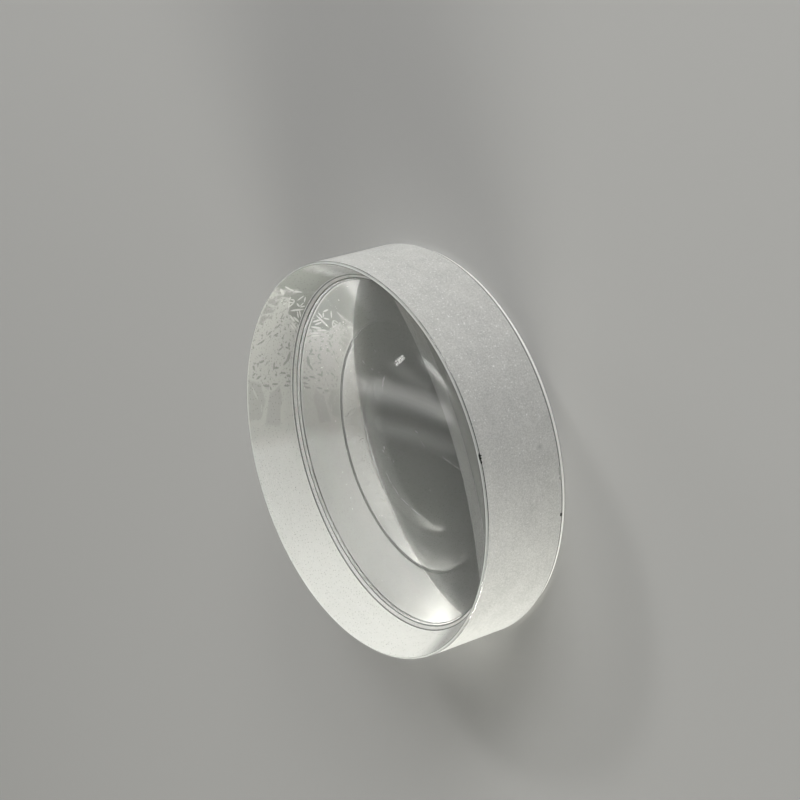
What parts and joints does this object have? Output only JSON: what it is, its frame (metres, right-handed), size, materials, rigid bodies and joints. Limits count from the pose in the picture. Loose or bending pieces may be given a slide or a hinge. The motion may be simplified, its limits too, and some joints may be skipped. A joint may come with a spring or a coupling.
{
  "type": "biconcave lens",
  "caption": "Biconcave glass lens with polished spherical faces, a fine-ground cylindrical edge and a thin bevel on each rim.",
  "frame": {"origin": "centre of the circle on the rear rim that the lens rests on, at the bottom centre of its box", "axes": "+Z along the optical axis, from the rear face to the front face"},
  "size_m": [0.0254, 0.0254, 0.0061],
  "materials": {
    "optical_glass": "polished faces, fine-ground edge"
  },
  "bodies": {
    "root": {"lens": "optical_glass"}
  },
  "joints": []
}
